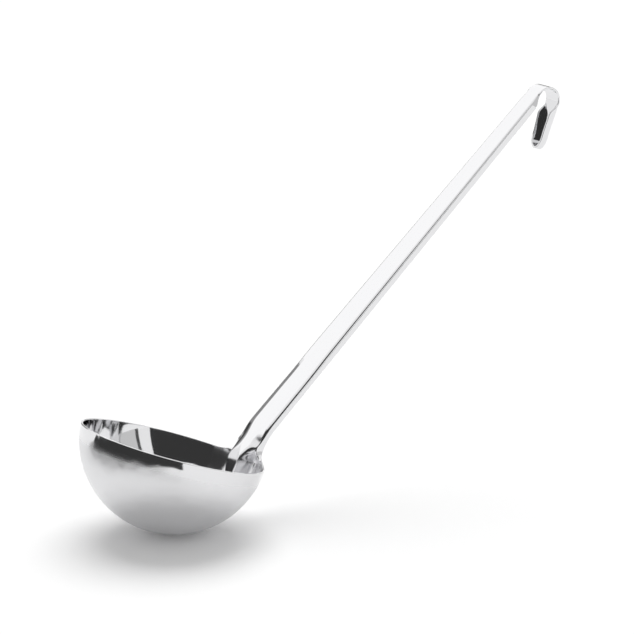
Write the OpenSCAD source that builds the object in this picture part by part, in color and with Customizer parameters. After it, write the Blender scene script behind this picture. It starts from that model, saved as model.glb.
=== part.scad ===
// Soup ladle pressed from one sheet of stainless steel: a deep round bowl, a flared neck,
// a long channel handle and a hook folded back at its end.
// The ladle stands on the lowest point of its bowl, which is the origin, with +Z up.
// The handle leans towards +X, and the XZ plane is the plane of symmetry.

/* [Sheet] */
// Thickness of the steel sheet
sheet = 1.5; // [1:0.1:2]
// Outside radius of the pressed corners along the handle
corner_r = 2; // [2:0.1:2.4]

/* [Bowl] */
// Outside diameter across the rim
rim_d = 120; // [100:1:140]
// Depth from the rim plane to the lowest point of the wall's sphere
bowl_depth = 56; // [48:1:60]
// Extra thickness on each face of the base, which drawing thins less than the wall
base_swell = 0.05; // [0.05:0.01:0.1]
// Lean of the rim plane towards the handle
tilt = 18.2; // [0:0.1:25]

/* [Neck] */
// Half of the angle around the rim from which the neck rises
neck_spread = 31; // [24:1:36]
// Straight rise of the turned edges above the rim
neck_rise = 7.2; // [2:0.1:10]
// Radius of their bend from there into the handle
neck_bend_r = 40; // [35:1:90]
// Height above the rim at which the neck is as narrow as the handle
flare_height = 9; // [7:0.5:16]
// Height above the rim down to which the front of the handle runs straight
press_height = 10.5; // [9:0.5:14]
// Depth below the rim at which the pressed rib fades into the bowl
rib_depth = 34; // [28:1:36]
// Half of the rib's flat crest at the rim
rib_half_w = 8; // [6:0.5:9]
// Half of that crest where the rib fades
rib_foot_half_w = 4; // [3:0.5:6]
// Slope of the rib's sides
rib_slope = 66; // [50:1:75]

/* [Handle] */
// Angle between the rim plane and the front of the handle
handle_angle = 60.7; // [50:0.1:70]
// Length of the straight channel between the neck and the hook
handle_len = 287; // [180:1:300]
// Width of the channel at the neck
handle_base_w = 24.3; // [20:0.1:28]
// Width of the channel at the hook
handle_top_w = 14.4; // [13:0.1:18]
// Depth of the turned edges, over the sheet
flange = 5.5; // [4.5:0.1:7]
// Length over which the turned edges run out before the hook
flange_runout = 14; // [8:1:24]
// Plain end of the strip between that runout and the fold
plain_end = 2; // [2:0.5:6]

/* [Hook] */
// Outside radius of the fold
fold_r = 9.6; // [7:0.1:12]
// Angle through which the end is folded back
fold_angle = 151; // [130:1:160]
// Width of the strip around the fold
hook_w = 14; // [12:0.1:16]
// Width of the return leg at its round tip
tip_w = 11.2; // [9:0.1:13]
// Length of the return leg from the fold to its tip
leg_len = 32.3; // [24:0.1:50]
// Depth of the turned edge around the return leg
leg_flange = 5.5; // [4.5:0.1:7]

/* [Hidden] */

$fn = 96;
overlap = 1;
reach = 400;

// The bowl is a cap of a sphere that is centred a little above the rim plane.
rim_r = rim_d / 2;
sphere_r = (rim_r * rim_r + bowl_depth * bowl_depth) / (2 * bowl_depth);
inner_r = sphere_r - sheet;
rim_drop = sphere_r - bowl_depth;
rim_in_r = sqrt(inner_r * inner_r - rim_drop * rim_drop);

// The turned edges leave the rim along the bowl wall, then bend into the handle.
wall_angle = 90 - asin(rim_drop / inner_r);
rise_top = [rim_in_r + neck_rise * cos(wall_angle), -rim_drop + neck_rise * sin(wall_angle)];
bend_centre = rise_top + neck_bend_r * [sin(wall_angle), -cos(wall_angle)];
function bend_point(a) = bend_centre + neck_bend_r * [-sin(a), cos(a)];
neck_end = bend_point(handle_angle) - flange * [sin(handle_angle), -cos(handle_angle)];

// Inside of the wall at a level: the bowl, the straight rise and the start of the bend
function wall_x(z) =
    z <= -rim_drop
        ? sqrt(inner_r * inner_r - z * z)
        : z <= rise_top[1]
            ? rim_in_r + (z + rim_drop) / tan(wall_angle)
            : bend_centre[0] - sqrt(neck_bend_r * neck_bend_r - (z - bend_centre[1]) ^ 2);

// Thickness of that wall, measured level
function wall_thickness(z) =
    z <= -rim_drop ? sqrt(sphere_r * sphere_r - z * z) - wall_x(z) : sheet;

// The front leaves the line of the handle at the crest top and sinks into the bowl wall at
// the rib's foot. Between them it is a cubic curve, tangent at both ends with these pulls.
crest_top_pull = 45;
rib_foot_pull = 30;
crest_top_z = press_height - rim_drop;
crest_top = [neck_end[0] - (neck_end[1] - crest_top_z) / tan(handle_angle), crest_top_z];
rib_foot_z = -rim_drop - rib_depth;
rib_foot = [wall_x(rib_foot_z), rib_foot_z];
crest_pull = crest_top_pull * [-cos(handle_angle), -sin(handle_angle)];
foot_pull = rib_foot_pull * [rib_foot[1], -rib_foot[0]] / inner_r;
function crest(t) =
    (2 * t ^ 3 - 3 * t ^ 2 + 1) * crest_top
    + (t ^ 3 - 2 * t ^ 2 + t) * crest_pull
    + (3 * t ^ 2 - 2 * t ^ 3) * rib_foot
    + (t ^ 3 - t ^ 2) * foot_pull;
function crest_x(z, low = 0, high = 1, steps = 24) =
    let (t = (low + high) / 2)
    steps == 0
        ? crest(t)[0]
        : crest(t)[1] > z
            ? crest_x(z, t, high, steps - 1)
            : crest_x(z, low, t, steps - 1);

// Points across half of a section: flat crest, corner, side, fillet and wall
crest_steps = 4;
corner_steps = 4;
side_steps = 1;
fillet_steps = 4;
wall_steps = 5;
side_start = crest_steps + corner_steps;
fillet_start = side_start + side_steps;
wall_start = fillet_start + fillet_steps;
half_points = wall_start + wall_steps;
rib_corner_r = 2.5;
rib_fillet_r = 4;

// Half of the channel's front outline, [across, back], for a depth over the sheet
function channel_point(i, depth) =
    i <= crest_steps
        ? [(handle_base_w / 2 - corner_r) * i / crest_steps, -depth]
        : i <= side_start
            ? let (a = 90 * (i - crest_steps) / corner_steps)
                [
                    handle_base_w / 2 - corner_r * (1 - sin(a)),
                    corner_r * (1 - cos(a)) - depth
                ]
            : let (f = (i - side_start) / (half_points - side_start))
                [handle_base_w / 2, (corner_r - depth) * (1 - f)];

// Half of the rib's front outline for a depth over the wall, in a section at the level z
function rib_point(i, depth, z) =
    let (foot_share = max(min((z + rim_drop) / -rib_depth, 1), 0))
    let (flat = rib_half_w + (rib_foot_half_w - rib_half_w) * foot_share)
    let (slope = min(rib_slope, acos(max(1 - depth / (rib_corner_r + rib_fillet_r), 0))))
    let (rounds = (rib_corner_r + rib_fillet_r) * (1 - cos(slope)))
    let (run = max(depth - rounds, 0) / tan(max(slope, 1)))
    let (side_end = flat + rib_corner_r * sin(slope) + run)
    let (rib_end = side_end + rib_fillet_r * sin(slope))
    let (edge = wall_x(min(z, -rim_drop)) * sin(neck_spread))
    i <= crest_steps
        ? [flat * i / crest_steps, -depth]
        : i <= side_start
            ? let (a = slope * (i - crest_steps) / corner_steps)
                [flat + rib_corner_r * sin(a), rib_corner_r * (1 - cos(a)) - depth]
            : i <= wall_start
                ? let (a = slope * (wall_start - i) / fillet_steps)
                    [rib_end - rib_fillet_r * sin(a), -rib_fillet_r * (1 - cos(a))]
                : [rib_end + (edge - rib_end) * (i - wall_start) / wall_steps, 0];

// How far the round wall of the bowl falls forward at a distance from the middle
function wall_back(across, z) =
    let (r = wall_x(min(z, -rim_drop)))
    sqrt(r * r - across * across) - r;

// Share of the way from the rib's outline to the channel's at a level.
// The side of the neck is a quarter of an ellipse, tangent to the rim.
function flare_share(z) =
    let (h = max(z + rim_drop, 0))
    h < flare_height ? sqrt(1 - (1 - h / flare_height) ^ 2) : 1;

// Front outline of a section, from one edge across to the other
function front_line(depth, z) =
    let (q = flare_share(z))
    [
        for (i = [-half_points : half_points])
            let (low = rib_point(abs(i), depth, z))
            let (p = (low + [0, wall_back(low[0], z)]) * (1 - q) + channel_point(abs(i), depth) * q)
            [sign(i) * p[0], p[1]]
    ];

// Unit normal towards the back at the point j of an outline
function back_normal(line, j) =
    let (last = len(line) - 1)
    let (d = line[min(j + 1, last)] - line[max(j - 1, 0)])
    [-d[1], d[0]] / norm(d);

// Ring round the sheet: the front outline, then the back outline in reverse
function ring(origin, lean, depth, z) =
    let (front = front_line(depth, z), t = wall_thickness(z))
    let (last = len(front) - 1)
    let (back = [for (j = [last : -1 : 0]) front[j] + t * back_normal(front, j)])
    [
        for (p = concat(front, back))
            [origin[0] + p[1] * sin(lean), p[0], origin[1] - p[1] * cos(lean)]
    ];

// Level rings from the foot of the rib to the crest top, closest together over the rim
rib_rings = 14;
flare_rings = 9;
neck_levels = concat(
    [for (k = [0 : rib_rings]) rib_foot_z + rib_depth * k / rib_rings],
    [for (k = [1 : flare_rings]) -rim_drop + press_height * (1 - cos(90 * k / flare_rings))]
);
function level_ring(z) = ring([wall_x(z), z], 90, wall_x(z) - crest_x(z), z);

// Leaning rings round the bend, up to the end of the handle
bend_rings = 8;
bend_start = acos((crest_top_z - bend_centre[1]) / neck_bend_r);
function leaning_ring(k) =
    let (share = k / bend_rings)
    let (origin = bend_point(bend_start + (handle_angle - bend_start) * share))
    let (lean = 90 + (handle_angle - 90) * share)
    let (off = (origin - neck_end) * [sin(handle_angle), -cos(handle_angle)])
    ring(origin, lean, off / cos(lean - handle_angle), origin[1]);

module tilted() {
    translate([0, 0, sphere_r + base_swell]) rotate([0, tilt, 0]) children();
}

// Places a shape drawn with X along the handle, Y across and Z towards the back.
module on_handle(along = 0) {
    tilted()
        translate([neck_end[0], 0, neck_end[1]])
        rotate([0, -handle_angle, 0])
        translate([along, 0, 0])
        mirror([0, 0, 1])
        children();
}

// Half of the section of the bowl's wall, from inside the base up to the rim
module wall_section() {
    bottom = rib_foot_z - overlap;
    intersection() {
        difference() {
            circle(r = sphere_r);
            circle(r = inner_r);
        }
        translate([0, bottom]) square([reach, -rim_drop - bottom]);
    }
}

// The wall is open where the neck stands, from the foot of the rib up to the rim.
module bowl() {
    color("silver")
    tilted()
    rotate([0, 0, neck_spread]) {
        difference() {
            sphere(r = sphere_r + base_swell);
            sphere(r = inner_r - base_swell);
            translate([-reach / 2, -reach / 2, rib_foot_z]) cube(reach);
        }
        rotate_extrude(angle = 360 - 2 * neck_spread) wall_section();
    }
}

module neck() {
    rings = concat(
        [for (z = neck_levels) level_ring(z)],
        [for (k = [1 : bend_rings]) leaning_ring(k)]
    );
    n = len(rings[0]);
    last = len(rings) - 1;
    points = [for (r = rings) each r];
    sides = [
        for (k = [0 : last - 1], j = [0 : n - 1])
            let (a = k * n + j, b = k * n + (j + 1) % n)
            each [[a, b, b + n], [a, b + n, a + n]]
    ];
    foot = [
        for (j = [0 : n / 2 - 2])
            let (a = j, b = j + 1, c = n - 2 - j, d = n - 1 - j)
            each [[a, c, b], [a, d, c]]
    ];
    top = [for (f = foot) [for (v = [2, 1, 0]) f[v] + last * n]];
    color("gainsboro") tilted() polyhedron(points, concat(sides, foot, top), convexity = 6);
}

// Right half of the channel's cross-section: X across, Y towards the back
module half_channel(w) {
    translate([-w, 0]) square([1.5 * w - corner_r, sheet]);
    intersection() {
        translate([w / 2 - corner_r, corner_r]) difference() {
            circle(r = corner_r);
            circle(r = corner_r - sheet);
        }
        translate([w / 2 - corner_r, 0]) square(corner_r);
    }
    translate([w / 2 - sheet, corner_r]) square([sheet, flange - corner_r]);
}

// One half of the handle, drawn along its own slanting edge and cut at the middle
module handle_half() {
    slant = atan((handle_base_w - handle_top_w) / 2 / handle_len);
    intersection() {
        translate([0, handle_base_w / 2, 0])
            rotate([0, 0, -slant])
            translate([-overlap, -handle_base_w / 2, 0])
            rotate([90, 0, 90])
            linear_extrude(handle_len + 2 * overlap)
            half_channel(handle_base_w);
        cube([handle_len, handle_base_w, flange + overlap]);
    }
}

// Wedge that takes the turned edges down to the sheet at the fold
module runout() {
    foot = handle_len - plain_end;
    start = foot - flange_runout;
    rotate([90, 0, 0])
    translate([0, 0, -reach / 2])
    linear_extrude(reach)
    polygon([
        [start, flange],
        [foot, sheet],
        [handle_len + overlap, sheet],
        [handle_len + overlap, flange + overlap],
        [start, flange + overlap]
    ]);
}

module handle() {
    color("lightgray")
    on_handle()
    difference() {
        union() {
            handle_half();
            mirror([0, 1, 0]) handle_half();
        }
        runout();
    }
}

// Outline of the return leg: sides from the fold that run tangent into a round tip
module leg_outline(half_w, tip_r, length) {
    slope = acos(tip_r / norm([half_w, length])) - atan2(length, half_w);
    side = [length + tip_r * sin(slope), tip_r * cos(slope)];
    polygon([[0, half_w], side, [side[0], -side[1]], [0, -half_w]]);
    translate([length, 0]) circle(r = tip_r);
}

// Side view of the return leg: its edge rises clear of the round inside the fold.
module leg_profile() {
    square([leg_len, sheet]);
    difference() {
        translate([overlap, 0]) square([leg_len - overlap, leg_flange]);
        translate([0, fold_r]) circle(r = fold_r - sheet);
    }
}

// Return leg drawn with X along it, Y across and Z from its outside face inwards
module leg() {
    tip_r = tip_w / 2;
    centre = leg_len - tip_r;
    intersection() {
        difference() {
            translate([0, 0, -overlap])
                linear_extrude(leg_flange + 2 * overlap)
                leg_outline(hook_w / 2, tip_r, centre);
            translate([0, 0, sheet])
                linear_extrude(leg_flange)
                leg_outline(hook_w / 2 - sheet, tip_r - sheet, centre);
        }
        rotate([90, 0, 0])
            translate([0, 0, -hook_w])
            linear_extrude(2 * hook_w)
            leg_profile();
    }
}

// The fold, drawn in the frame of the return leg, runs back from the start of the leg.
module fold() {
    translate([0, 0, fold_r])
        rotate([-90, 0, 0])
        rotate([0, 0, 90])
        rotate_extrude(angle = fold_angle)
        translate([fold_r - sheet, -hook_w / 2])
        square([sheet, hook_w]);
}

// The hook is placed so that its fold starts at the end of the handle, on its back.
module hook() {
    color("silver")
    on_handle(handle_len)
    translate([0, 0, fold_r])
    rotate([0, -fold_angle, 0])
    translate([0, 0, -fold_r]) {
        fold();
        leg();
    }
}

bowl();
neck();
handle();
hook();
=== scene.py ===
# Soup ladle: one polished steel sheet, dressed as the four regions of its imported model.
import math

import bpy
import numpy as np
from mathutils import Matrix

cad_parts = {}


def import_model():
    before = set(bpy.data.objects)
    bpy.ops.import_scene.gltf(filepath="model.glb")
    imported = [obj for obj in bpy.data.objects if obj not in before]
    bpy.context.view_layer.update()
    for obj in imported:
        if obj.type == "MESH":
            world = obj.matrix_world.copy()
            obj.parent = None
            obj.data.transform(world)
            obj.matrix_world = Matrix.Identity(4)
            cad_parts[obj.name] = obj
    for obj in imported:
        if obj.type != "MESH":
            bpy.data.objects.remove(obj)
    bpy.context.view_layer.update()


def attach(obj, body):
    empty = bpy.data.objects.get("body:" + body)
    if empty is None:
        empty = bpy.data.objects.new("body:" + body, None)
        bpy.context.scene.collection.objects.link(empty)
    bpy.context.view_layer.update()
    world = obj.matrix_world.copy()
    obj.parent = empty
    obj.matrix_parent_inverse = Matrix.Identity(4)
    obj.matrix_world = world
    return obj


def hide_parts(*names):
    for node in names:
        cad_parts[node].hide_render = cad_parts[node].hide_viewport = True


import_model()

MM = 0.001

# Sheet and bowl in millimetres, in a frame with X to the handle and Z out of the rim plane
SHEET = 1.5
EDGE_ROUND = 0.45
RIM_R = 60.0
BOWL_DEPTH = 56.0
BASE_SWELL = 0.05
TILT = math.radians(18.2)
SPHERE_R = (RIM_R**2 + BOWL_DEPTH**2) / (2 * BOWL_DEPTH)
INNER_R = SPHERE_R - SHEET
RIM_DROP = SPHERE_R - BOWL_DEPTH
RIM_IN_R = math.sqrt(INNER_R**2 - RIM_DROP**2)
RIM_Z = -RIM_DROP - EDGE_ROUND

# Neck
SPREAD = math.radians(31)
NECK_RISE = 7.2
BEND_R = 40.0
FLARE_HEIGHT = 10.9
PRESS_HEIGHT = 10.5
RIB_DEPTH = 34.0
RIB_HALF = 5.0
RIB_TAPER = 0.85
RIB_SLOPE = math.radians(72)
RIB_CORNER = 1.5
RIB_FILLET = 5.0
RIB_LEAST_HALF = 0.2
RIB_LEAST_SLOPE = 0.02
CREST_PULL_LENGTH = 62
FOOT_PULL_LENGTH = 30
NECK_CORNER = 1.5
NECK_LIFT = 3.6
NECK_PANEL = 0.3
NECK_CREASE = 0.28

# Handle
ANGLE = math.radians(60.7)
HANDLE_LEN = 287.0
BASE_HALF = 24.3 / 2
TOP_HALF = 14.4 / 2
FLANGE = 5.5
BASE_CORNER = 2.6
CORNER = 1.5
PANEL_SHARE = 0.486
CREASE = 0.08
PANEL_LIFT = 0.75
PANEL_END = (38.0, 66.0)
RUNOUT_START = 276.0

# Hook
FOLD_R = 9.6
FOLD_ANGLE = math.radians(151)
HOOK_HALF = 7.0
TIP_HALF = 5.6
TIP_LENGTH = 8.5
LEG_LEN = 32.3
LEG_RISE = 9.0
FOLD_RUN = 1.0
EDGE_LEAN = 0.01
FOLD_LEN = FOLD_R * FOLD_ANGLE
LEG_END = LEG_LEN - TIP_LENGTH
STRIP_END = HANDLE_LEN + FOLD_LEN + LEG_END

# Points across half of a section: panel, crease, shoulder, corner and flange
STEPS = (8, 6, 8, 10, 10)
EDGE_STEPS = 8
FLAT_POINTS = sum(STEPS[:3])
HALVINGS = 40

# Rows along the sheet, and round the tip and the bowl
WALL_ROWS = 25
FLARE_ROWS = 20
LEAN_ROWS = 18
HANDLE_STEPS = 130
HOOK_STEPS = 72
TIP_ROWS = 49
BOWL_COLUMNS = 151
BASE_ROWS = 41

# Steel: patterns as (scale, detail) of their noise, heights in metres, depths in millimetres
STEEL_COLOUR = (0.76, 0.76, 0.77, 1)
CLOUD = (25, 3.0)
WAVE = (90, 1.0)
SCRATCH = (1500, 6.0)
CLOUD_RANGE = (0.3, 0.7)
SCRATCH_HEIGHT = 0.0001
MIRROR_WAVES = 0.00006
SATIN_WAVES = 0.0005
MIRROR_GLOSS = (0.05, 0.05)
NECK_GLOSS = (0.13, 0.13)
SATIN_GLOSS = (0.07, 0.36)
SATIN_DEPTHS = (3, 13)

# Place of the satin finish among a piece's materials
SATIN = 1

# Camera, in metres and in pixels of the photograph
PICTURE_PIXELS = 634
FOCAL_PIXELS = 2855.71
SENSOR_MM = 36
CAMERA_PLACE = (-0.83033, -1.50958, 0.59468)
CAMERA_RIGHT = (0.84994, -0.52688, 0.0)
CAMERA_UP = (0.13464, 0.21720, 0.96680)
VIEW_END = 20

# Studio
FLOOR_HALF = 6
CARD_RADIUS = 2.2
CARD_HEIGHT = 0.08
CARD_COLUMNS = 25
CARD_ROWS = 9
TABLE_GAP = 0.0005
FILL_LIGHT = 0.5
FLOOR_GLOW = 0.05
KEY_LIGHT = 1.7
KEY_ANGLE = math.radians(48)
KEY_LEAN = math.radians(-26)
KEY_TURN = math.radians(-36)


def smooth(x):
    x = np.clip(x, 0.0, 1.0)
    return x * x * (3 - 2 * x)


def wall_x(z):
    """Inside of the wall over the handle's side of the bowl at the level z."""
    if z <= -RIM_DROP:
        return math.sqrt(INNER_R**2 - z**2)
    if z <= RISE_TOP[1]:
        return RIM_IN_R + (z + RIM_DROP) / math.tan(WALL_ANGLE)
    return BEND_CENTRE[0] - math.sqrt(BEND_R**2 - (z - BEND_CENTRE[1]) ** 2)


def bend_point(angle):
    return BEND_CENTRE + BEND_R * np.array([-math.sin(angle), math.cos(angle)])


WALL_ANGLE = math.pi / 2 - math.asin(RIM_DROP / INNER_R)
WALL_DIR = np.array([math.cos(WALL_ANGLE), math.sin(WALL_ANGLE)])
RISE_TOP = np.array([RIM_IN_R, -RIM_DROP]) + NECK_RISE * WALL_DIR
BEND_CENTRE = RISE_TOP + BEND_R * np.array([WALL_DIR[1], -WALL_DIR[0]])
ALONG = np.array([math.cos(ANGLE), math.sin(ANGLE)])
BACK = np.array([math.sin(ANGLE), -math.cos(ANGLE)])
NECK_END = bend_point(ANGLE) - FLANGE * BACK

# Crest of the rib, from the straight front of the handle down to the bowl's wall
CREST_TOP_Z = PRESS_HEIGHT - RIM_DROP
CREST_TOP = np.array([NECK_END[0] - (NECK_END[1] - CREST_TOP_Z) / math.tan(ANGLE), CREST_TOP_Z])
FOOT_Z = -RIM_DROP - RIB_DEPTH
FOOT = np.array([wall_x(FOOT_Z), FOOT_Z])
CREST_PULL = -CREST_PULL_LENGTH * ALONG
FOOT_PULL = FOOT_PULL_LENGTH * np.array([FOOT[1], -FOOT[0]]) / INNER_R
BEND_START = math.acos((CREST_TOP_Z - BEND_CENTRE[1]) / BEND_R)


def crest_point(t):
    return (
        (2 * t**3 - 3 * t**2 + 1) * CREST_TOP
        + (t**3 - 2 * t**2 + t) * CREST_PULL
        + (3 * t**2 - 2 * t**3) * FOOT
        + (t**3 - t**2) * FOOT_PULL
    )


def crest_x(z):
    """X of the crest at the level z, by halving the span of the curve's parameter."""
    if z >= CREST_TOP_Z:
        return NECK_END[0] - (NECK_END[1] - z) / math.tan(ANGLE)
    if z <= FOOT_Z:
        return wall_x(z)
    low, high = 0.0, 1.0
    for _ in range(HALVINGS):
        middle = (low + high) / 2
        if crest_point(middle)[1] > z:
            low = middle
        else:
            high = middle
    return crest_point(low)[0]


def joined(*runs):
    """Joins the points and the directions of consecutive runs."""
    points = np.vstack([p for p, _ in runs])
    directions = np.vstack([d for _, d in runs])
    return points, directions


def straight(start, end, steps, first=False):
    t = np.linspace(0, 1, steps + 1)[0 if first else 1:, None]
    start, end = np.array(start, float), np.array(end, float)
    length = np.linalg.norm(end - start)
    direction = (end - start) / length if length > 1e-9 else np.array([1.0, 0.0])
    return start + t * (end - start), np.repeat(direction[None], len(t), 0)


def rounded(centre, radius, start, end, steps, hollow=False):
    """Arc whose direction turns from one angle to another, bulging forward or hollow."""
    a = np.linspace(start, end, steps + 1)[1:]
    side = -1 if hollow else 1
    points = np.array(centre) + side * radius * np.stack([np.sin(a), -np.cos(a)], 1)
    return points, np.stack([np.cos(a), np.sin(a)], 1)


def channel(half, corner, lift, height, panel=PANEL_SHARE, crease=CREASE):
    """Half of the channel: (across, distance behind the front), and directions."""
    panel, crease = panel * half, crease * half
    lean = math.atan(lift / (half - panel))
    centre_y = half - corner
    centre_c = (centre_y - panel) * math.tan(lean) + corner / math.cos(lean)
    t = np.linspace(0, 1, STEPS[1] + 1)[1:, None]
    slant = np.array([1.0, math.tan(lean)])
    bend = np.array([panel, 0]) - (1 - t) ** 2 * [crease, 0] + t**2 * crease * slant
    turn = (1 - t) * [1.0, 0.0] + t * slant
    turn = turn / np.linalg.norm(turn, axis=1, keepdims=True)
    shoulder = np.array([centre_y, centre_c]) + corner * np.array([math.sin(lean), -math.cos(lean)])
    return joined(
        straight([0, 0], [panel - crease, 0], STEPS[0], first=True),
        (bend, turn),
        straight(bend[-1], shoulder, STEPS[2]),
        rounded([centre_y, centre_c], corner, lean, math.pi / 2, STEPS[3]),
        straight([half, centre_c], [half, height - EDGE_ROUND], STEPS[4]),
    )


def rib(depth, z, extent):
    """Half of the rib in the bowl's wall at a level: (across, distance behind the wall)."""
    share = min(max((z + RIM_DROP) / -RIB_DEPTH, 0), 1)
    flat = RIB_HALF * float(smooth(1 - share / RIB_TAPER)) + RIB_LEAST_HALF
    slope = min(RIB_SLOPE, math.acos(max(1 - depth / (RIB_CORNER + RIB_FILLET), 0)))
    rounds = (RIB_CORNER + RIB_FILLET) * (1 - math.cos(slope))
    run = max(depth - rounds, 0) / math.tan(max(slope, RIB_LEAST_SLOPE))
    side = flat + RIB_CORNER * math.sin(slope)
    end = side + run + RIB_FILLET * math.sin(slope)
    corner = rounded([flat, RIB_CORNER - depth], RIB_CORNER, 0, slope, STEPS[1])
    fillet = rounded([end, -RIB_FILLET], RIB_FILLET, slope, 0, STEPS[3], hollow=True)
    fillet_start = [end - RIB_FILLET * math.sin(slope), -RIB_FILLET * (1 - math.cos(slope))]
    r = wall_x(min(z, -RIM_DROP))
    edge = r * math.sin(SPREAD)
    points, directions = joined(
        straight([0, -depth], [flat, -depth], STEPS[0], first=True),
        corner,
        straight(corner[0][-1], fillet_start, STEPS[2]),
        fillet,
        straight([end, 0], [end + (edge - end) * extent, 0], STEPS[4]),
    )
    fall = np.sqrt(r**2 - points[:, 0] ** 2)
    points = points + np.stack([0 * fall, fall - r], 1)
    directions = directions + np.stack([0 * fall, -points[:, 0] / fall * directions[:, 0]], 1)
    return points, directions / np.linalg.norm(directions, axis=1, keepdims=True)


def spacing(points):
    steps = np.linalg.norm(np.diff(points, axis=0), axis=1)
    return np.concatenate([steps[:1], (steps[1:] + steps[:-1]) / 2, steps[-1:]])[:, None]


def mixed(first, second, share):
    """Mix of two outlines with their directions."""
    (p, dp), (q, dq) = first, second
    along = (1 - share) * dp * spacing(p) + share * dq * spacing(q)
    return (1 - share) * p + share * q, along / np.linalg.norm(along, axis=1, keepdims=True)


def wall_extent(z):
    """Share of the wall that still stands beside the rib: a quarter ellipse over the rim."""
    h = min(max((z - RIM_Z) / FLARE_HEIGHT, 0), 1)
    return 1 - math.sqrt(1 - (1 - h) ** 2) if h > 0 else 1.0


def placed(outline, origin, lean):
    """Outline in its plane, (across, back), set at an origin and a lean in the local frame."""
    points, directions = outline
    back = np.array([math.sin(lean), 0, -math.cos(lean)])
    across = np.array([0, 1.0, 0])
    start = np.array([origin[0], 0, origin[1]])
    position = start + points[:, :1] * across + points[:, 1:] * back
    return position, directions[:, :1] * across + directions[:, 1:] * back


def level_row(z, extent):
    """Row across the neck at a level, up to where the sheet starts to bend over."""
    depth = max(wall_x(z) - crest_x(z), 0)
    share = float(smooth((z - RIM_Z) / (CREST_TOP_Z - RIM_Z)))
    low = rib(depth, z, extent)
    if share > 0:
        high = channel(BASE_HALF, NECK_CORNER, NECK_LIFT, depth, NECK_PANEL, NECK_CREASE)
        high = (high[0] - [0, depth], high[1])
        low = mixed(low, high, share)
    return placed(low, [wall_x(z), z], math.pi / 2)


def leaning_row(share):
    """Row across the neck at a share of its bend into the handle."""
    origin = bend_point(BEND_START + (ANGLE - BEND_START) * share)
    lean = math.pi / 2 + (ANGLE - math.pi / 2) * share
    depth = (origin - NECK_END) @ BACK / math.cos(lean - ANGLE)
    blend = float(smooth(share))
    corner = NECK_CORNER + (BASE_CORNER - NECK_CORNER) * blend
    lift = NECK_LIFT + (PANEL_LIFT - NECK_LIFT) * blend
    panel = NECK_PANEL + (PANEL_SHARE - NECK_PANEL) * blend
    crease = NECK_CREASE + (CREASE - NECK_CREASE) * blend
    points, directions = channel(BASE_HALF, corner, lift, depth, panel, crease)
    return placed((points - [0, depth], directions), origin, lean)


def spatial(flat):
    """Vector of the plane of symmetry, (x, z), in three dimensions."""
    return np.array([flat[0], 0, flat[1]])


def fold_axes(angle):
    """Outward and onward directions, (x, z), at an angle round the fold."""
    outward = math.sin(angle) * ALONG - math.cos(angle) * BACK
    onward = math.cos(angle) * ALONG + math.sin(angle) * BACK
    return outward, onward


def fold_place(angle, past):
    """Point of the strip's front at an angle round the fold and a distance past it."""
    outward, onward = fold_axes(angle)
    return NECK_END + HANDLE_LEN * ALONG + FOLD_R * BACK + FOLD_R * outward + past * onward


def strip_outline(s):
    """Outline of the handle, the fold and the leg at a distance along the strip."""
    if s <= HANDLE_LEN:
        half = BASE_HALF + (TOP_HALF - BASE_HALF) * s / HANDLE_LEN
        widening = smooth((s - RUNOUT_START) / (HANDLE_LEN - RUNOUT_START))
        half += (HOOK_HALF - TOP_HALF) * float(widening)
    else:
        x = max(s - HANDLE_LEN - FOLD_LEN, 0) / LEG_END
        half = TIP_HALF + (HOOK_HALF - TIP_HALF) * (1 - float(smooth(x)))
    lift = PANEL_LIFT * (1 - float(smooth((s - PANEL_END[0]) / (PANEL_END[1] - PANEL_END[0]))))
    corner = BASE_CORNER + (CORNER - BASE_CORNER) * min(s / HANDLE_LEN, 1)
    start, end = HANDLE_LEN + FOLD_RUN, HANDLE_LEN + FOLD_LEN
    down = 1 - float(smooth((s - RUNOUT_START) / (start - RUNOUT_START)))
    up = float(smooth((s - end) / LEG_RISE))
    return half, channel(half, corner, lift, FLANGE), down + up


def strip_row(s):
    """Points and directions across the handle or the hook at a distance from the neck."""
    half, outline, height = strip_outline(s)
    if height < 1:
        outline = laid_down(outline, half, height)
    if s <= HANDLE_LEN:
        return placed(outline, NECK_END + s * ALONG, ANGLE)
    angle = min((s - HANDLE_LEN) / FOLD_R, FOLD_ANGLE)
    origin = fold_place(angle, max(s - HANDLE_LEN - FOLD_LEN, 0))
    outward = fold_axes(angle)[0]
    return placed(outline, origin, math.atan2(-outward[0], outward[1]))


def laid_down(outline, half, height):
    """Outline whose turned edge is shortened to a share of its height and laid down."""
    points, directions = outline
    spread = points.copy()
    spread[:, 1] = 0
    count = len(points) - FLAT_POINTS
    spread[FLAT_POINTS:, 0] = np.linspace(points[FLAT_POINTS, 0], half - EDGE_ROUND, count)
    flat = np.repeat([[1.0, 0.0]], len(points), 0)
    return mixed((spread, flat), outline, height)


def tip_row(turn):
    """Points of half a section that pivots about the end of the leg's spine."""
    half, (points, _), _ = strip_outline(STRIP_END)
    rim = np.array([TIP_LENGTH * math.cos(turn), TIP_HALF * math.sin(turn)])
    normal = np.array([math.cos(turn) / TIP_LENGTH, math.sin(turn) / TIP_HALF])
    normal = normal / np.linalg.norm(normal)
    inner = rim - CORNER * normal
    reach = np.clip(points[:, :1] / (half - CORNER), 0, 1)
    plan = reach * inner + np.clip(points[:, :1] - (half - CORNER), 0, None) * normal
    outward, onward = fold_axes(FOLD_ANGLE)
    ahead, inward = spatial(onward), -spatial(outward)
    across = np.array([0, 1.0, 0])
    origin = spatial(fold_place(FOLD_ANGLE, LEG_END))
    position = origin + plan[:, :1] * ahead + plan[:, 1:] * across
    return position + points[:, 1:] * inward


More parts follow.
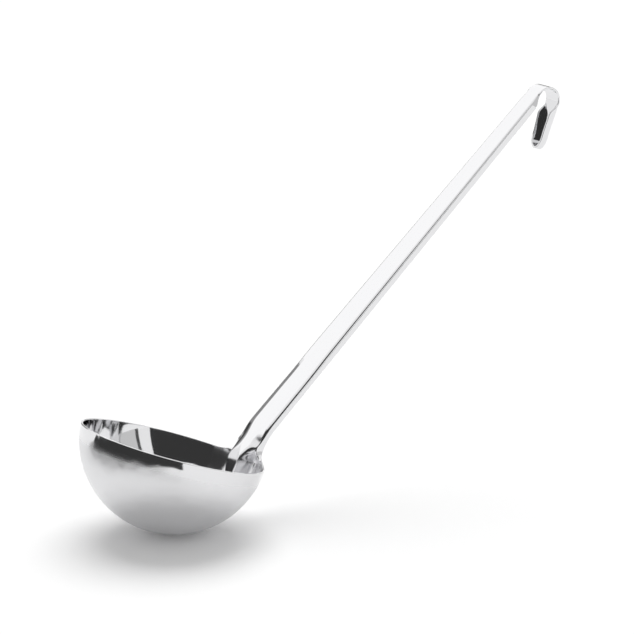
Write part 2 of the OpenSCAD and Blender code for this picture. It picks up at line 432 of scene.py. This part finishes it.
def world(points):
    """Local millimetres to the part's frame in metres."""
    x, y, z = points[..., 0], points[..., 1], points[..., 2]
    c, s = math.cos(TILT), math.sin(TILT)
    lifted = SPHERE_R + BASE_SWELL
    return np.stack([x * c + z * s, y, -x * s + z * c + lifted], -1) * MM


def turned(vectors):
    """Directions of the local frame in the part's frame."""
    x, y, z = vectors[..., 0], vectors[..., 1], vectors[..., 2]
    c, s = math.cos(TILT), math.sin(TILT)
    return np.stack([x * c + z * s, y, -x * s + z * c], -1)


def unit(vectors):
    return vectors / np.maximum(np.linalg.norm(vectors, axis=-1, keepdims=True), 1e-12)


def edge_round(point, normal, outward):
    """Front and back halves of a sheet's rounded free edge: points and normals."""
    a = np.linspace(0, math.pi / 2, EDGE_STEPS + 1)[1:, None]
    front = normal * np.cos(a) + outward * np.sin(a)
    back = -normal * np.cos(a) + outward * np.sin(a)
    front_point = point + EDGE_ROUND * (front - normal)
    back_point = point - (SHEET - EDGE_ROUND) * normal + EDGE_ROUND * back
    return front_point, front, back_point, back


class Skin:
    """Collects grids of points with normals and makes one closed mesh of them."""

    def __init__(self):
        self.points, self.normals, self.faces, self.finishes = [], [], [], []
        self.count = 0

    def grid(self, points, normals, finish=0):
        """Adds the quads between neighbouring rows, all facing the way their normals point."""
        points = np.asarray(points, float)
        normals = np.broadcast_to(np.asarray(normals, float), points.shape)
        rows, columns = points.shape[:2]
        index = self.count + np.arange(rows * columns).reshape(rows, columns)
        a, b, c, d = points[:-1, :-1], points[:-1, 1:], points[1:, 1:], points[1:, :-1]
        facing = (np.cross(c - a, d - b) * normals[:-1, :-1]).sum()
        quads = [index[:-1, :-1], index[:-1, 1:], index[1:, 1:], index[1:, :-1]]
        if facing < 0:
            quads.reverse()
        self.faces.append(np.stack(quads, -1).reshape(-1, 4))
        self.finishes += [finish] * len(self.faces[-1])
        self.points.append(points.reshape(-1, 3))
        self.normals.append(normals.reshape(-1, 3))
        self.count += rows * columns

    def sheet(self, front, back):
        """Front and back grids, each (points, normals), joined all round by flat strips."""
        for points, normals in (front, back):
            self.grid(points, normals)
        middle = (front[0].shape[0] // 2, front[0].shape[1] // 2)
        for side in (np.s_[0], np.s_[-1], np.s_[:, 0], np.s_[:, -1]):
            pair = np.stack([front[0][side], back[0][side]])
            self.grid(pair, unit(pair.mean((0, 1)) - front[0][middle]))

    def build(self, name):
        points, normals, quads = map(np.vstack, (self.points, self.normals, self.faces))
        merged, index = np.unique(np.round(points, 4), axis=0, return_inverse=True)
        index = index.reshape(-1)
        faces, loops, finishes = [], [], []
        for quad, finish in zip(quads, self.finishes):
            corners = [v for k, v in enumerate(quad) if index[v] != index[quad[k - 1]]]
            if len(corners) > 2 and len(set(index[corners])) == len(corners):
                faces.append(index[corners].tolist())
                loops.extend(normals[corners])
                finishes.append(finish)
        mesh = bpy.data.meshes.new(name)
        mesh.from_pydata(world(merged).tolist(), [], faces)
        mesh.polygons.foreach_set("use_smooth", [True] * len(faces))
        mesh.polygons.foreach_set("material_index", finishes)
        mesh.normals_split_custom_set(turned(np.array(loops)).tolist())
        piece = bpy.data.objects.new(name, mesh)
        bpy.context.collection.objects.link(piece)
        return piece


def mirrored(half):
    """Full rows from half rows: the half with Y below zero first, the middle point once."""
    return np.concatenate([half[:, :0:-1] * [1, -1, 1], half], 1)


def row_normals(points, across):
    """Front normals of half rows: across the row by direction, along the rows by position."""
    gaps = np.linalg.norm(np.diff(points, axis=0), axis=2).mean(1)
    along = np.gradient(points, np.concatenate([[0], np.cumsum(gaps)]), axis=0)
    return unit(np.cross(along, across))


def with_edges(points, normals, outward):
    """Front and back grids of half rows, the free edge rounded, as full rows."""
    front, back = [], []
    for row, facing, out in zip(points, normals, outward):
        if out is None:
            last, n = row[-1], facing[-1]
            fp, fn = np.repeat(last[None], EDGE_STEPS, 0), np.repeat(n[None], EDGE_STEPS, 0)
            bp, bn = fp - SHEET * fn, -fn
        else:
            fp, fn, bp, bn = edge_round(row[-1], facing[-1], out)
        front.append((np.vstack([row, fp]), np.vstack([facing, fn])))
        back.append((np.vstack([row - SHEET * facing, bp]), np.vstack([-facing, bn])))
    sides = []
    for side in (front, back):
        sides.append(tuple(mirrored(np.array([part[k] for part in side])) for k in (0, 1)))
    return sides


def edge_outward(points, normals):
    """Direction out of the sheet at the rows' last points, square to the edge."""
    along = unit(np.gradient(points[:, -1], axis=0))
    return unit(np.cross(normals[:, -1], along))


# Rows of the neck: up the wall, round the rim's flare, then turning with the bend
WALL_LEVELS = np.linspace(FOOT_Z, RIM_Z, WALL_ROWS)
FLARE_SHARES = (np.arange(1, FLARE_ROWS + 1) / FLARE_ROWS) ** 2
LEVELS = np.concatenate([WALL_LEVELS, RIM_Z + (CREST_TOP_Z - RIM_Z) * FLARE_SHARES])
LEAN_SHARES = np.linspace(0, 1, LEAN_ROWS + 1)[1:]
strip_s = np.linspace(0, HANDLE_LEN, HANDLE_STEPS + 1)
hook_s = np.linspace(HANDLE_LEN, STRIP_END, HOOK_STEPS + 1)[1:]

rows = [level_row(z, wall_extent(z)) for z in LEVELS]
rows += [leaning_row(share) for share in LEAN_SHARES]
neck_rows = len(rows)
rows += [strip_row(s) for s in np.concatenate([strip_s[1:], hook_s])]
points = np.array([row[0] for row in rows])
across = np.array([row[1] for row in rows])
normals = row_normals(points, across)

# The wall beside the rib lies on the bowl's inner sphere
wall_start = len(points[0]) - STEPS[4] - 1
normals[:WALL_ROWS, wall_start:] = -unit(points[:WALL_ROWS, wall_start:])
normals[0] = -unit(points[0])
outward = edge_outward(points, normals)
rim_normal = normals[WALL_ROWS - 1, -1]
rim_up = unit(np.cross(np.cross(rim_normal, [0, 0, 1.0]), rim_normal))
edges = [None] * (WALL_ROWS - 1) + [rim_up] + list(outward[WALL_ROWS:])


def strip_piece(name, first, last):
    """Closed piece of the sheet between two of its rows."""
    front, back = with_edges(points[first:last], normals[first:last], edges[first:last])
    if name == "neck_sheet":
        level = front[0][0]
        reach = math.sqrt(SPHERE_R**2 - FOOT_Z**2) / math.sqrt(INNER_R**2 - FOOT_Z**2)
        back[0][0] = level * [reach, reach, 1]
    skin = Skin()
    skin.sheet(front, back)
    return skin.build(name)


def tip_piece(skin):
    """Adds the round end of the leg, where the turned edge runs on round the tip."""
    turns = np.linspace(math.pi / 2, -math.pi / 2, TIP_ROWS)
    outline = strip_outline(STRIP_END)[1]
    inward = -spatial(fold_axes(FOLD_ANGLE)[0])
    front, back = [], []
    for turn in turns:
        position = tip_row(turn)
        reach = position[-1] - position[FLAT_POINTS - 1]
        way = unit(reach - inward * (reach @ inward))
        facing = outline[1][:, 1:] * way - outline[1][:, :1] * inward
        fp, fn, bp, bn = edge_round(position[-1], facing[-1], inward)
        front.append((np.vstack([position, fp]), np.vstack([facing, fn])))
        back.append((np.vstack([position - SHEET * facing, bp]), np.vstack([-facing, bn])))
    for side in (front, back):
        skin.grid(np.array([s[0] for s in side]), np.array([s[1] for s in side]))
    pair = np.stack([[f[0][-1] for f in front], [b[0][-1] for b in back]])
    skin.grid(pair, inward)


def hook_piece(first):
    """The fold and the leg with its round tip, as one closed piece."""
    front, back = with_edges(points[first:], normals[first:], edges[first:])
    skin = Skin()
    for part, facing in (front, back):
        skin.grid(part, facing)
    start = np.stack([front[0][0], back[0][0]])
    skin.grid(start, -spatial(ALONG))
    for column, side in ((0, -1.0), (-1, 1.0)):
        pair = np.stack([front[0][:, column], back[0][:, column]])
        skin.grid(pair, np.array([0, side, 0]) + EDGE_LEAN * spatial(BACK))
    tip_piece(skin)
    return skin.build("hook_sheet")


def sphere_rows(azimuths, levels, radius):
    """Points of a sphere at azimuths and levels; the radius is one value or one per level."""
    radius = np.broadcast_to(radius, levels.shape)
    flat = np.sqrt(np.maximum(radius**2 - levels**2, 0))
    a = azimuths[None, :]
    return np.stack(
        [flat[:, None] * np.cos(a), flat[:, None] * np.sin(a), levels[:, None] + 0 * a], -1
    )


def bowl_piece():
    """The round cup, satin outside, with its wall left open where the neck rises."""
    notch = np.arctan2(*mirrored(points[:1])[0][:, 1::-1].T)
    rest = np.linspace(SPREAD, 2 * math.pi - SPREAD, BOWL_COLUMNS)
    ring = np.concatenate([notch, rest[1:]])
    skin = Skin()
    polar = np.linspace(math.pi, math.acos(FOOT_Z / INNER_R), BASE_ROWS)
    inner = sphere_rows(ring, INNER_R * np.cos(polar), INNER_R)
    polar = np.linspace(math.pi, math.acos(FOOT_Z / SPHERE_R), BASE_ROWS)
    swell = SPHERE_R + BASE_SWELL * (1 - smooth(np.linspace(0, 1, BASE_ROWS)))
    outer = sphere_rows(ring, swell * np.cos(polar), swell)
    skin.grid(inner, -unit(inner))
    skin.grid(outer, unit(outer), SATIN)
    upper = sphere_rows(rest, WALL_LEVELS, INNER_R)
    lip = unit(upper[-1] * [1, 1, 0]) * (RIM_DROP / INNER_R) + [0, 0, RIM_IN_R / INNER_R]
    rounds = [edge_round(p, -unit(p), unit(up)) for p, up in zip(upper[-1], lip)]
    top = upper[-1] * (SPHERE_R / INNER_R)
    outer_levels = np.linspace(FOOT_Z, top[0, 2], WALL_ROWS)
    shell = sphere_rows(rest, outer_levels, SPHERE_R)
    sides = []
    for grid, sign, k in ((upper, -1, 0), (shell, 1, 2)):
        arc = np.stack([r[k] for r in rounds], 1)
        arc_normal = np.stack([r[k + 1] for r in rounds], 1)
        sides.append((np.vstack([grid, arc]), np.vstack([sign * unit(grid), arc_normal])))
    (front, front_n), (back, back_n) = sides
    skin.grid(front, front_n)
    skin.grid(back, back_n, SATIN)
    skin.grid(np.stack([front[-1], back[-1]]), [0, 0, 1.0])
    for column, side in ((0, 1), (-1, -1)):
        face = np.array([math.sin(SPREAD), -side * math.cos(SPREAD), 0])
        skin.grid(np.stack([front[:, column], back[:, column]]), face)
    notch_in = sphere_rows(notch, np.array([FOOT_Z]), INNER_R)
    notch_out = sphere_rows(notch, np.array([FOOT_Z]), SPHERE_R)
    skin.grid(np.vstack([notch_in, notch_out]), [0, 0, 1.0])
    return skin.build("bowl_sheet")


handle_end = neck_rows + HANDLE_STEPS
pieces = {
    "bowl": bowl_piece(),
    "neck": strip_piece("neck_sheet", 0, neck_rows),
    "handle": strip_piece("handle_sheet", neck_rows - 1, handle_end),
    "hook": hook_piece(handle_end - 1),
}


def node(tree, kind, **values):
    """New shader node with its unlinked inputs set by name."""
    made = tree.nodes.new(kind)
    for name, value in values.items():
        made.inputs[name.replace("_", " ")].default_value = value
    return made


def steel(name, gloss, variation, waves, scratch, stretch, depths=(0, 1)):
    """Polished steel whose roughness goes from gloss[0] to gloss[1] between two depths
    under the rim, with fine polishing scratches and a slowly varying gloss."""
    material = bpy.data.materials.new(name)
    material.use_nodes = True
    tree = material.node_tree
    link = tree.links.new
    shader = tree.nodes["Principled BSDF"]
    shader.inputs["Metallic"].default_value = 1.0
    shader.inputs["Base Color"].default_value = STEEL_COLOUR
    place = node(tree, "ShaderNodeTexCoord")
    level = node(tree, "ShaderNodeMapping", Rotation=(0, -TILT, 0))
    axes = node(tree, "ShaderNodeSeparateXYZ")
    depth = node(tree, "ShaderNodeMapRange", To_Min=gloss[1], To_Max=gloss[0])
    depth.interpolation_type = "SMOOTHSTEP"
    centre = (SPHERE_R + BASE_SWELL) * math.cos(TILT)
    depth.inputs["From Min"].default_value = (centre - RIM_DROP - depths[1]) * MM
    depth.inputs["From Max"].default_value = (centre - RIM_DROP - depths[0]) * MM
    cloud = node(tree, "ShaderNodeTexNoise", Scale=CLOUD[0], Detail=CLOUD[1])
    waver = node(tree, "ShaderNodeMapRange", From_Min=CLOUD_RANGE[0], From_Max=CLOUD_RANGE[1])
    waver.inputs["To Min"].default_value = -variation
    waver.inputs["To Max"].default_value = variation
    total = node(tree, "ShaderNodeMath")
    lines = node(tree, "ShaderNodeMapping", Rotation=(0, stretch[0], 0), Scale=stretch[1])
    fine = node(tree, "ShaderNodeTexNoise", Scale=SCRATCH[0], Detail=SCRATCH[1])
    wave = node(tree, "ShaderNodeTexNoise", Scale=WAVE[0], Detail=WAVE[1])
    swell = node(tree, "ShaderNodeBump", Strength=1.0, Distance=waves)
    bump = node(tree, "ShaderNodeBump", Strength=scratch, Distance=SCRATCH_HEIGHT)
    link(place.outputs["Object"], level.inputs["Vector"])
    link(level.outputs["Vector"], axes.inputs["Vector"])
    link(axes.outputs["Z"], depth.inputs["Value"])
    link(place.outputs["Object"], cloud.inputs["Vector"])
    link(cloud.outputs["Fac"], waver.inputs["Value"])
    link(depth.outputs["Result"], total.inputs[0])
    link(waver.outputs["Result"], total.inputs[1])
    link(total.outputs["Value"], shader.inputs["Roughness"])
    link(place.outputs["Object"], lines.inputs["Vector"])
    link(lines.outputs["Vector"], fine.inputs["Vector"])
    link(fine.outputs["Fac"], bump.inputs["Height"])
    link(place.outputs["Object"], wave.inputs["Vector"])
    link(wave.outputs["Fac"], swell.inputs["Height"])
    link(swell.outputs["Normal"], bump.inputs["Normal"])
    link(bump.outputs["Normal"], shader.inputs["Normal"])
    return material


along_handle = (ANGLE - TILT, (0.03, 1, 1))
round_bowl = (-TILT, (0.1, 0.1, 1))
polished = steel("polished_steel", MIRROR_GLOSS, variation=0.02, waves=MIRROR_WAVES,
                 scratch=0.05, stretch=along_handle)
satin = steel("satin_steel", SATIN_GLOSS, variation=0.03, waves=SATIN_WAVES,
              scratch=0.15, stretch=round_bowl, depths=SATIN_DEPTHS)
brushed = steel("brushed_steel", NECK_GLOSS, variation=0.03, waves=MIRROR_WAVES,
                scratch=0.05, stretch=along_handle)
for name, piece in pieces.items():
    piece.data.materials.append(brushed if name == "neck" else polished)
    piece.data.materials.append(satin)
    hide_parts(name)
    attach(piece, "root")


def camera():
    """Camera at the photograph's place; its axes are the picture's right, up and towards."""
    data = bpy.data.cameras.new("camera")
    data.sensor_width = SENSOR_MM
    data.lens = SENSOR_MM * FOCAL_PIXELS / PICTURE_PIXELS
    data.clip_end = VIEW_END
    eye = bpy.data.objects.new("camera", data)
    towards = np.cross(CAMERA_RIGHT, CAMERA_UP)
    turn = Matrix([CAMERA_RIGHT, CAMERA_UP, towards]).transposed().to_4x4()
    eye.matrix_world = Matrix.Translation(CAMERA_PLACE) @ turn
    bpy.context.collection.objects.link(eye)
    bpy.context.scene.camera = eye


def emission(name, level):
    """Plain light of one level, for a card that stands for part of the studio."""
    material = bpy.data.materials.new(name)
    material.use_nodes = True
    nodes, links = material.node_tree.nodes, material.node_tree.links
    light = nodes.new("ShaderNodeEmission")
    light.inputs["Color"].default_value = (level, level, level, 1)
    links.new(light.outputs["Emission"], nodes["Material Output"].inputs["Surface"])
    return material


def stage_grid(name, points, material):
    """Stage object from a grid of points."""
    rows, columns = points.shape[:2]
    index = np.arange(rows * columns).reshape(rows, columns)
    quads = np.stack([index[:-1, :-1], index[:-1, 1:], index[1:, 1:], index[1:, :-1]], -1)
    mesh = bpy.data.meshes.new(name)
    mesh.from_pydata(points.reshape(-1, 3).tolist(), [], quads.reshape(-1, 4).tolist())
    mesh.materials.append(material)
    piece = bpy.data.objects.new(name, mesh)
    bpy.context.collection.objects.link(piece)
    return piece


def card(name, azimuths, elevations, level):
    """Curved studio card that only polished metal sees. Azimuth 0 is +Y and 90 is +X."""
    a = np.radians(np.linspace(*azimuths, CARD_COLUMNS))[None, :]
    e = np.radians(np.linspace(*elevations, CARD_ROWS))[:, None]
    points = np.stack([np.cos(e) * np.sin(a), np.cos(e) * np.cos(a), np.sin(e) + 0 * a], -1)
    points = points * CARD_RADIUS + [0, 0, CARD_HEIGHT]
    glossy_only(stage_grid(name, points, emission(name, level)))


def glossy_only(piece):
    piece.visible_camera = False
    piece.visible_diffuse = False
    piece.visible_shadow = False


def table_edge(name, azimuths, distances, level):
    """Dark floor past the white table, on the camera's side."""
    a = np.radians(np.linspace(*azimuths, CARD_COLUMNS))[None, :]
    r = np.array(distances)[:, None]
    points = np.stack([r * np.sin(a), r * np.cos(a), TABLE_GAP + 0 * r * a], -1)
    glossy_only(stage_grid(name, points, emission(name, level)))


def seen_rays(tree):
    """Output that is 1 for a ray from the camera or on from metal or glass, else 0."""
    rays = node(tree, "ShaderNodeLightPath")
    seen = rays.outputs["Is Camera Ray"]
    for name in ("Is Glossy Ray", "Is Transmission Ray"):
        total = node(tree, "ShaderNodeMath")
        tree.links.new(seen, total.inputs[0])
        tree.links.new(rays.outputs[name], total.inputs[1])
        seen = total.outputs["Value"]
    return seen


def floor():
    corners = FLOOR_HALF * np.array([[[-1, -1, 0], [1, -1, 0]], [[-1, 1, 0], [1, 1, 0]]])
    material = bpy.data.materials.new("floor")
    material.use_nodes = True
    tree = material.node_tree
    shader = tree.nodes["Principled BSDF"]
    shader.inputs["Base Color"].default_value = (1, 1, 1, 1)
    shader.inputs["Roughness"].default_value = 1
    shader.inputs["Specular IOR Level"].default_value = 0
    shader.inputs["Emission Color"].default_value = (1, 1, 1, 1)
    glow = node(tree, "ShaderNodeMapRange", To_Max=FLOOR_GLOW)
    tree.links.new(seen_rays(tree), glow.inputs["Value"])
    tree.links.new(glow.outputs["Result"], shader.inputs["Emission Strength"])
    stage_grid("floor", corners, material)


def sky():
    studio = bpy.data.worlds.new("studio")
    bpy.context.scene.world = studio
    studio.use_nodes = True
    tree = studio.node_tree
    background = tree.nodes["Background"]
    background.inputs["Color"].default_value = (1, 1, 1, 1)
    strength = node(tree, "ShaderNodeMapRange", To_Min=FILL_LIGHT, To_Max=1.0)
    tree.links.new(seen_rays(tree), strength.inputs["Value"])
    tree.links.new(strength.outputs["Result"], background.inputs["Strength"])


def key_light():
    """Large soft light from above and behind, which gives the short shadow in front."""
    data = bpy.data.lights.new("key", "SUN")
    data.energy = KEY_LIGHT
    data.angle = KEY_ANGLE
    lamp = bpy.data.objects.new("key", data)
    lamp.rotation_euler = (KEY_LEAN, 0, KEY_TURN)
    lamp.visible_glossy = False
    bpy.context.collection.objects.link(lamp)


camera()
floor()
sky()
key_light()
card("dark_studio", (177, 294), (-4, 46), 0.045)
card("dark_side", (294, 312), (-4, 5), 0.06)
card("dark_stripe", (157.5, 162), (-3, 35), 0.1)
card("grey_side", (110, 157.5), (-3, 30), 0.68)
card("grey_behind", (-12, 30), (13, 23), 0.3)
card("dark_behind", (-20, 50), (-1, 13), 0.06)
card("soft_box", (-60, 60), (25, 70), 1.22)
table_edge("table_edge", (200, 318), (0.24, CARD_RADIUS), 0.045)
bpy.context.scene.view_settings.view_transform = "Standard"
